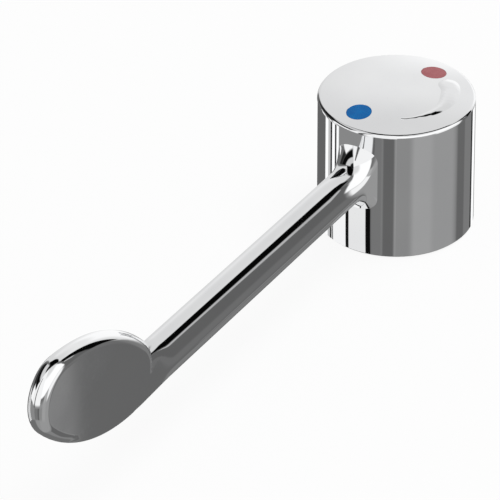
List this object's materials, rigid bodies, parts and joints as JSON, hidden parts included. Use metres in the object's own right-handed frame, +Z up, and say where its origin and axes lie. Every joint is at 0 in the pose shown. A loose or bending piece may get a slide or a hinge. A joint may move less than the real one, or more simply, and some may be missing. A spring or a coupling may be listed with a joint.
{
  "type": "tap lever handle",
  "caption": "Chromed single-lever tap handle: a hollow round hub with a domed top and colour markers, a straight round bar on a tall neck and an upright oval paddle.",
  "frame": {"origin": "on the hub's axis, in the plane of its open foot", "axes": "+Z up the hub's axis, +X along the lever from the hub to the paddle"},
  "size_m": [0.2136, 0.044, 0.0568],
  "materials": {
    "plated_casting": "polished",
    "cold_blue": "gloss",
    "hot_red": "gloss",
    "screw_steel": "satin"
  },
  "bodies": {
    "root": {"handle_casting": "plated_casting", "cold_marker": "cold_blue", "hot_marker": "hot_red", "grub_screw": "screw_steel"}
  },
  "joints": []
}
